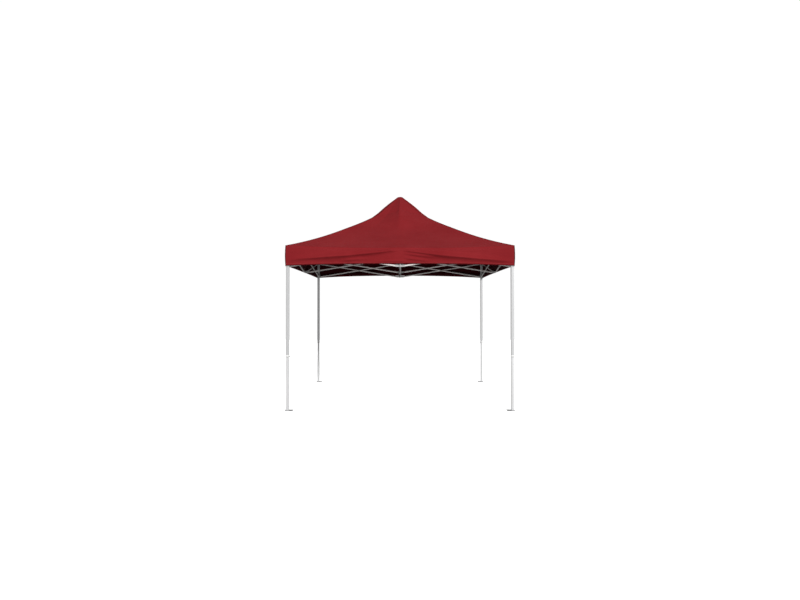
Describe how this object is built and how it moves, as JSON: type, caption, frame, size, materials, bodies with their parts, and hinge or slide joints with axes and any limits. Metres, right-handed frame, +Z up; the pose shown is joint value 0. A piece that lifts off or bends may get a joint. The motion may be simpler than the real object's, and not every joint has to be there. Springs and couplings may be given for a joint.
{
  "type": "pop up gazebo",
  "caption": "Square fabric canopy gazebo on a folding frame of crossed truss bars, with a sprung centre post and telescopic square legs.",
  "frame": {"origin": "on the ground, in the middle between the four feet", "axes": "+Z up, -Y is the front, +X to the right as seen from the front"},
  "size_m": [2.91, 2.91, 2.966],
  "materials": {
    "canopy_fabric": "coated woven polyester, wine red, matt",
    "leg_aluminium": "satin anodised extrusion",
    "bar_aluminium": "mill finish extrusion",
    "post_aluminium": "mill finish tube",
    "bracket_nylon": "moulded glass-filled nylon, light grey",
    "knob_plastic": "moulded black plastic"
  },
  "bodies": {
    "hub_upper": {"hub_upper": "bracket_nylon", "canopy": "canopy_fabric"},
    "hub_lower": {"hub_lower_post": "post_aluminium"},
    "post_rod": {"post_rod": "post_aluminium"},
    "arm_high_front": {"bar_front_arm_high": "bar_aluminium"},
    "arm_low_front": {"bar_front_arm_low": "bar_aluminium"},
    "middle_lower_front": {"middle_bracket_lower_front": "bracket_nylon"},
    "middle_upper_front": {"middle_bracket_upper_front": "bracket_nylon"},
    "high_front_left": {"bar_front_left_high": "bar_aluminium"},
    "high_front_right": {"bar_front_right_high": "bar_aluminium"},
    "low_front_left": {"bar_front_left_low": "bar_aluminium"},
    "low_front_right": {"bar_front_right_low": "bar_aluminium"},
    "leg_front_left": {"leg_outer_front_left": "leg_aluminium", "corner_bracket_front_left": "bracket_nylon"},
    "leg_inner_front_left": {"leg_inner_front_left": "leg_aluminium"},
    "slider_front_left": {"corner_slider_front_left": "bracket_nylon"},
    "slider_knob_front_left": {"slider_knob_front_left": "knob_plastic"},
    "leg_knob_front_left": {"leg_knob_front_left": "knob_plastic"},
    "arm_high_right": {"bar_right_arm_high": "bar_aluminium"},
    "arm_low_right": {"bar_right_arm_low": "bar_aluminium"},
    "middle_lower_right": {"middle_bracket_lower_right": "bracket_nylon"},
    "middle_upper_right": {"middle_bracket_upper_right": "bracket_nylon"},
    "high_right_left": {"bar_right_left_high": "bar_aluminium"},
    "high_right_right": {"bar_right_right_high": "bar_aluminium"},
    "low_right_left": {"bar_right_left_low": "bar_aluminium"},
    "low_right_right": {"bar_right_right_low": "bar_aluminium"},
    "leg_front_right": {"leg_outer_front_right": "leg_aluminium", "corner_bracket_front_right": "bracket_nylon"},
    "leg_inner_front_right": {"leg_inner_front_right": "leg_aluminium"},
    "slider_front_right": {"corner_slider_front_right": "bracket_nylon"},
    "slider_knob_front_right": {"slider_knob_front_right": "knob_plastic"},
    "leg_knob_front_right": {"leg_knob_front_right": "knob_plastic"},
    "arm_high_back": {"bar_back_arm_high": "bar_aluminium"},
    "arm_low_back": {"bar_back_arm_low": "bar_aluminium"},
    "middle_lower_back": {"middle_bracket_lower_back": "bracket_nylon"},
    "middle_upper_back": {"middle_bracket_upper_back": "bracket_nylon"},
    "high_back_left": {"bar_back_left_high": "bar_aluminium"},
    "high_back_right": {"bar_back_right_high": "bar_aluminium"},
    "low_back_left": {"bar_back_left_low": "bar_aluminium"},
    "low_back_right": {"bar_back_right_low": "bar_aluminium"},
    "leg_back_right": {"leg_outer_back_right": "leg_aluminium", "corner_bracket_back_right": "bracket_nylon"},
    "leg_inner_back_right": {"leg_inner_back_right": "leg_aluminium"},
    "slider_back_right": {"corner_slider_back_right": "bracket_nylon"},
    "slider_knob_back_right": {"slider_knob_back_right": "knob_plastic"},
    "leg_knob_back_right": {"leg_knob_back_right": "knob_plastic"},
    "arm_high_left": {"bar_left_arm_high": "bar_aluminium"},
    "arm_low_left": {"bar_left_arm_low": "bar_aluminium"},
    "middle_lower_left": {"middle_bracket_lower_left": "bracket_nylon"},
    "middle_upper_left": {"middle_bracket_upper_left": "bracket_nylon"},
    "high_left_left": {"bar_left_left_high": "bar_aluminium"},
    "high_left_right": {"bar_left_right_high": "bar_aluminium"},
    "low_left_left": {"bar_left_left_low": "bar_aluminium"},
    "low_left_right": {"bar_left_right_low": "bar_aluminium"},
    "leg_back_left": {"leg_outer_back_left": "leg_aluminium", "corner_bracket_back_left": "bracket_nylon"},
    "leg_inner_back_left": {"leg_inner_back_left": "leg_aluminium"},
    "slider_back_left": {"corner_slider_back_left": "bracket_nylon"},
    "slider_knob_back_left": {"slider_knob_back_left": "knob_plastic"},
    "leg_knob_back_left": {"leg_knob_back_left": "knob_plastic"}
  },
  "joints": [
    {"name": "frame_fold", "type": "hinge", "parent": "hub_upper", "child": "arm_high_front", "pos_m": [0, -0.055, 2.052], "axis": [1, 0, 0], "range_deg": [0, 75]},
    {"name": "arm_to_middle_front", "type": "hinge", "parent": "arm_high_front", "child": "middle_lower_front", "pos_m": [0, -1.37, 1.837], "axis": [-1, 0, 0], "range_deg": [0, 75]},
    {"name": "arm_rivet_front", "type": "hinge", "parent": "arm_high_front", "child": "arm_low_front", "pos_m": [0, -0.7125, 1.9445], "axis": [-1, 0, 0], "range_deg": [0, 150]},
    {"name": "arm_to_upper_middle_front", "type": "hinge", "parent": "arm_low_front", "child": "middle_upper_front", "pos_m": [0, -1.37, 2.052], "axis": [1, 0, 0], "range_deg": [0, 75]},
    {"name": "middle_pin_front_left", "type": "hinge", "parent": "middle_lower_front", "child": "high_front_left", "pos_m": [-0.055, -1.425, 1.837], "axis": [0, 1, 0], "range_deg": [0, 75]},
    {"name": "middle_pin_front_right", "type": "hinge", "parent": "middle_lower_front", "child": "high_front_right", "pos_m": [0.055, -1.425, 1.837], "axis": [0, -1, 0], "range_deg": [0, 75]},
    {"name": "rivet_front_left", "type": "hinge", "parent": "high_front_left", "child": "low_front_left", "pos_m": [-0.7125, -1.425, 1.9445], "axis": [0, -1, 0], "range_deg": [0, 150]},
    {"name": "rivet_front_right", "type": "hinge", "parent": "high_front_right", "child": "low_front_right", "pos_m": [0.7125, -1.425, 1.9445], "axis": [0, 1, 0], "range_deg": [0, 150]},
    {"name": "leg_top_pin_front_left", "type": "hinge", "parent": "high_front_left", "child": "leg_front_left", "pos_m": [-1.37, -1.425, 2.052], "axis": [0, -1, 0], "range_deg": [0, 75]},
    {"name": "slider_pin_front_left", "type": "hinge", "parent": "low_front_left", "child": "slider_front_left", "pos_m": [-1.37, -1.425, 1.837], "axis": [0, 1, 0], "range_deg": [0, 75]},
    {"name": "hub_lower_pin", "type": "hinge", "parent": "arm_low_front", "child": "hub_lower", "pos_m": [0, -0.055, 1.837], "axis": [1, 0, 0], "range_deg": [0, 75]},
    {"name": "post_rod_spring", "type": "slide", "parent": "hub_lower", "child": "post_rod", "axis": [0, 0, 1], "range_m": [0, 0.2685]},
    {"name": "leg_height_front_left", "type": "slide", "parent": "leg_front_left", "child": "leg_inner_front_left", "axis": [0, 0, 1], "range_m": [0, 0.65]},
    {"name": "slider_pull_front_left", "type": "slide", "parent": "slider_front_left", "child": "slider_knob_front_left", "axis": [1, 0, 0], "range_m": [0, 0.005], "stiffness_N_per_m": 600},
    {"name": "leg_pull_front_left", "type": "slide", "parent": "leg_front_left", "child": "leg_knob_front_left", "axis": [1, 0, 0], "range_m": [0, 0.005], "stiffness_N_per_m": 600},
    {"name": "hub_pin_right", "type": "hinge", "parent": "hub_upper", "child": "arm_high_right", "pos_m": [0.055, 0, 2.052], "axis": [0, 1, 0], "range_deg": [0, 75]},
    {"name": "arm_to_middle_right", "type": "hinge", "parent": "arm_high_right", "child": "middle_lower_right", "pos_m": [1.37, 0, 1.837], "axis": [0, -1, 0], "range_deg": [0, 75]},
    {"name": "arm_rivet_right", "type": "hinge", "parent": "arm_high_right", "child": "arm_low_right", "pos_m": [0.7125, 0, 1.9445], "axis": [0, -1, 0], "range_deg": [0, 150]},
    {"name": "arm_to_upper_middle_right", "type": "hinge", "parent": "arm_low_right", "child": "middle_upper_right", "pos_m": [1.37, 0, 2.052], "axis": [0, 1, 0], "range_deg": [0, 75]},
    {"name": "middle_pin_right_left", "type": "hinge", "parent": "middle_lower_right", "child": "high_right_left", "pos_m": [1.425, -0.055, 1.837], "axis": [-1, 0, 0], "range_deg": [0, 75]},
    {"name": "middle_pin_right_right", "type": "hinge", "parent": "middle_lower_right", "child": "high_right_right", "pos_m": [1.425, 0.055, 1.837], "axis": [1, 0, 0], "range_deg": [0, 75]},
    {"name": "rivet_right_left", "type": "hinge", "parent": "high_right_left", "child": "low_right_left", "pos_m": [1.425, -0.7125, 1.9445], "axis": [1, 0, 0], "range_deg": [0, 150]},
    {"name": "rivet_right_right", "type": "hinge", "parent": "high_right_right", "child": "low_right_right", "pos_m": [1.425, 0.7125, 1.9445], "axis": [-1, 0, 0], "range_deg": [0, 150]},
    {"name": "leg_top_pin_front_right", "type": "hinge", "parent": "high_right_left", "child": "leg_front_right", "pos_m": [1.425, -1.37, 2.052], "axis": [1, 0, 0], "range_deg": [0, 75]},
    {"name": "slider_pin_front_right", "type": "hinge", "parent": "low_right_left", "child": "slider_front_right", "pos_m": [1.425, -1.37, 1.837], "axis": [-1, 0, 0], "range_deg": [0, 75]},
    {"name": "leg_height_front_right", "type": "slide", "parent": "leg_front_right", "child": "leg_inner_front_right", "axis": [0, 0, 1], "range_m": [0, 0.65]},
    {"name": "slider_pull_front_right", "type": "slide", "parent": "slider_front_right", "child": "slider_knob_front_right", "axis": [0, 1, 0], "range_m": [0, 0.005], "stiffness_N_per_m": 600},
    {"name": "leg_pull_front_right", "type": "slide", "parent": "leg_front_right", "child": "leg_knob_front_right", "axis": [0, 1, 0], "range_m": [0, 0.005], "stiffness_N_per_m": 600},
    {"name": "hub_pin_back", "type": "hinge", "parent": "hub_upper", "child": "arm_high_back", "pos_m": [0, 0.055, 2.052], "axis": [-1, 0, 0], "range_deg": [0, 75]},
    {"name": "arm_to_middle_back", "type": "hinge", "parent": "arm_high_back", "child": "middle_lower_back", "pos_m": [0, 1.37, 1.837], "axis": [1, 0, 0], "range_deg": [0, 75]},
    {"name": "arm_rivet_back", "type": "hinge", "parent": "arm_high_back", "child": "arm_low_back", "pos_m": [0, 0.7125, 1.9445], "axis": [1, 0, 0], "range_deg": [0, 150]},
    {"name": "arm_to_upper_middle_back", "type": "hinge", "parent": "arm_low_back", "child": "middle_upper_back", "pos_m": [0, 1.37, 2.052], "axis": [-1, 0, 0], "range_deg": [0, 75]},
    {"name": "middle_pin_back_left", "type": "hinge", "parent": "middle_lower_back", "child": "high_back_left", "pos_m": [0.055, 1.425, 1.837], "axis": [0, -1, 0], "range_deg": [0, 75]},
    {"name": "middle_pin_back_right", "type": "hinge", "parent": "middle_lower_back", "child": "high_back_right", "pos_m": [-0.055, 1.425, 1.837], "axis": [0, 1, 0], "range_deg": [0, 75]},
    {"name": "rivet_back_left", "type": "hinge", "parent": "high_back_left", "child": "low_back_left", "pos_m": [0.7125, 1.425, 1.9445], "axis": [0, 1, 0], "range_deg": [0, 150]},
    {"name": "rivet_back_right", "type": "hinge", "parent": "high_back_right", "child": "low_back_right", "pos_m": [-0.7125, 1.425, 1.9445], "axis": [0, -1, 0], "range_deg": [0, 150]},
    {"name": "leg_top_pin_back_right", "type": "hinge", "parent": "high_back_left", "child": "leg_back_right", "pos_m": [1.37, 1.425, 2.052], "axis": [0, 1, 0], "range_deg": [0, 75]},
    {"name": "slider_pin_back_right", "type": "hinge", "parent": "low_back_left", "child": "slider_back_right", "pos_m": [1.37, 1.425, 1.837], "axis": [0, -1, 0], "range_deg": [0, 75]},
    {"name": "leg_height_back_right", "type": "slide", "parent": "leg_back_right", "child": "leg_inner_back_right", "axis": [0, 0, 1], "range_m": [0, 0.65]},
    {"name": "slider_pull_back_right", "type": "slide", "parent": "slider_back_right", "child": "slider_knob_back_right", "axis": [-1, 0, 0], "range_m": [0, 0.005], "stiffness_N_per_m": 600},
    {"name": "leg_pull_back_right", "type": "slide", "parent": "leg_back_right", "child": "leg_knob_back_right", "axis": [-1, 0, 0], "range_m": [0, 0.005], "stiffness_N_per_m": 600},
    {"name": "hub_pin_left", "type": "hinge", "parent": "hub_upper", "child": "arm_high_left", "pos_m": [-0.055, 0, 2.052], "axis": [0, -1, 0], "range_deg": [0, 75]},
    {"name": "arm_to_middle_left", "type": "hinge", "parent": "arm_high_left", "child": "middle_lower_left", "pos_m": [-1.37, 0, 1.837], "axis": [0, 1, 0], "range_deg": [0, 75]},
    {"name": "arm_rivet_left", "type": "hinge", "parent": "arm_high_left", "child": "arm_low_left", "pos_m": [-0.7125, 0, 1.9445], "axis": [0, 1, 0], "range_deg": [0, 150]},
    {"name": "arm_to_upper_middle_left", "type": "hinge", "parent": "arm_low_left", "child": "middle_upper_left", "pos_m": [-1.37, 0, 2.052], "axis": [0, -1, 0], "range_deg": [0, 75]},
    {"name": "middle_pin_left_left", "type": "hinge", "parent": "middle_lower_left", "child": "high_left_left", "pos_m": [-1.425, 0.055, 1.837], "axis": [1, 0, 0], "range_deg": [0, 75]},
    {"name": "middle_pin_left_right", "type": "hinge", "parent": "middle_lower_left", "child": "high_left_right", "pos_m": [-1.425, -0.055, 1.837], "axis": [-1, 0, 0], "range_deg": [0, 75]},
    {"name": "rivet_left_left", "type": "hinge", "parent": "high_left_left", "child": "low_left_left", "pos_m": [-1.425, 0.7125, 1.9445], "axis": [-1, 0, 0], "range_deg": [0, 150]},
    {"name": "rivet_left_right", "type": "hinge", "parent": "high_left_right", "child": "low_left_right", "pos_m": [-1.425, -0.7125, 1.9445], "axis": [1, 0, 0], "range_deg": [0, 150]},
    {"name": "leg_top_pin_back_left", "type": "hinge", "parent": "high_left_left", "child": "leg_back_left", "pos_m": [-1.425, 1.37, 2.052], "axis": [-1, 0, 0], "range_deg": [0, 75]},
    {"name": "slider_pin_back_left", "type": "hinge", "parent": "low_left_left", "child": "slider_back_left", "pos_m": [-1.425, 1.37, 1.837], "axis": [1, 0, 0], "range_deg": [0, 75]},
    {"name": "leg_height_back_left", "type": "slide", "parent": "leg_back_left", "child": "leg_inner_back_left", "axis": [0, 0, 1], "range_m": [0, 0.65]},
    {"name": "slider_pull_back_left", "type": "slide", "parent": "slider_back_left", "child": "slider_knob_back_left", "axis": [0, -1, 0], "range_m": [0, 0.005], "stiffness_N_per_m": 600},
    {"name": "leg_pull_back_left", "type": "slide", "parent": "leg_back_left", "child": "leg_knob_back_left", "axis": [0, -1, 0], "range_m": [0, 0.005], "stiffness_N_per_m": 600}
  ],
  "couplings": [
    {"joint": "arm_to_middle_front", "follows": "frame_fold", "ratio": 1},
    {"joint": "arm_rivet_front", "follows": "frame_fold", "ratio": 2},
    {"joint": "arm_to_upper_middle_front", "follows": "frame_fold", "ratio": 1},
    {"joint": "middle_pin_front_left", "follows": "frame_fold", "ratio": 1},
    {"joint": "middle_pin_front_right", "follows": "frame_fold", "ratio": 1},
    {"joint": "rivet_front_left", "follows": "frame_fold", "ratio": 2},
    {"joint": "rivet_front_right", "follows": "frame_fold", "ratio": 2},
    {"joint": "leg_top_pin_front_left", "follows": "frame_fold", "ratio": 1},
    {"joint": "slider_pin_front_left", "follows": "frame_fold", "ratio": 1},
    {"joint": "hub_lower_pin", "follows": "frame_fold", "ratio": 1},
    {"joint": "post_rod_spring", "follows": "frame_fold", "m_per_rad": 0.20474},
    {"joint": "hub_pin_right", "follows": "frame_fold", "ratio": 1},
    {"joint": "arm_to_middle_right", "follows": "frame_fold", "ratio": 1},
    {"joint": "arm_rivet_right", "follows": "frame_fold", "ratio": 2},
    {"joint": "arm_to_upper_middle_right", "follows": "frame_fold", "ratio": 1},
    {"joint": "middle_pin_right_left", "follows": "frame_fold", "ratio": 1},
    {"joint": "middle_pin_right_right", "follows": "frame_fold", "ratio": 1},
    {"joint": "rivet_right_left", "follows": "frame_fold", "ratio": 2},
    {"joint": "rivet_right_right", "follows": "frame_fold", "ratio": 2},
    {"joint": "leg_top_pin_front_right", "follows": "frame_fold", "ratio": 1},
    {"joint": "slider_pin_front_right", "follows": "frame_fold", "ratio": 1},
    {"joint": "hub_pin_back", "follows": "frame_fold", "ratio": 1},
    {"joint": "arm_to_middle_back", "follows": "frame_fold", "ratio": 1},
    {"joint": "arm_rivet_back", "follows": "frame_fold", "ratio": 2},
    {"joint": "arm_to_upper_middle_back", "follows": "frame_fold", "ratio": 1},
    {"joint": "middle_pin_back_left", "follows": "frame_fold", "ratio": 1},
    {"joint": "middle_pin_back_right", "follows": "frame_fold", "ratio": 1},
    {"joint": "rivet_back_left", "follows": "frame_fold", "ratio": 2},
    {"joint": "rivet_back_right", "follows": "frame_fold", "ratio": 2},
    {"joint": "leg_top_pin_back_right", "follows": "frame_fold", "ratio": 1},
    {"joint": "slider_pin_back_right", "follows": "frame_fold", "ratio": 1},
    {"joint": "hub_pin_left", "follows": "frame_fold", "ratio": 1},
    {"joint": "arm_to_middle_left", "follows": "frame_fold", "ratio": 1},
    {"joint": "arm_rivet_left", "follows": "frame_fold", "ratio": 2},
    {"joint": "arm_to_upper_middle_left", "follows": "frame_fold", "ratio": 1},
    {"joint": "middle_pin_left_left", "follows": "frame_fold", "ratio": 1},
    {"joint": "middle_pin_left_right", "follows": "frame_fold", "ratio": 1},
    {"joint": "rivet_left_left", "follows": "frame_fold", "ratio": 2},
    {"joint": "rivet_left_right", "follows": "frame_fold", "ratio": 2},
    {"joint": "leg_top_pin_back_left", "follows": "frame_fold", "ratio": 1},
    {"joint": "slider_pin_back_left", "follows": "frame_fold", "ratio": 1}
  ]
}
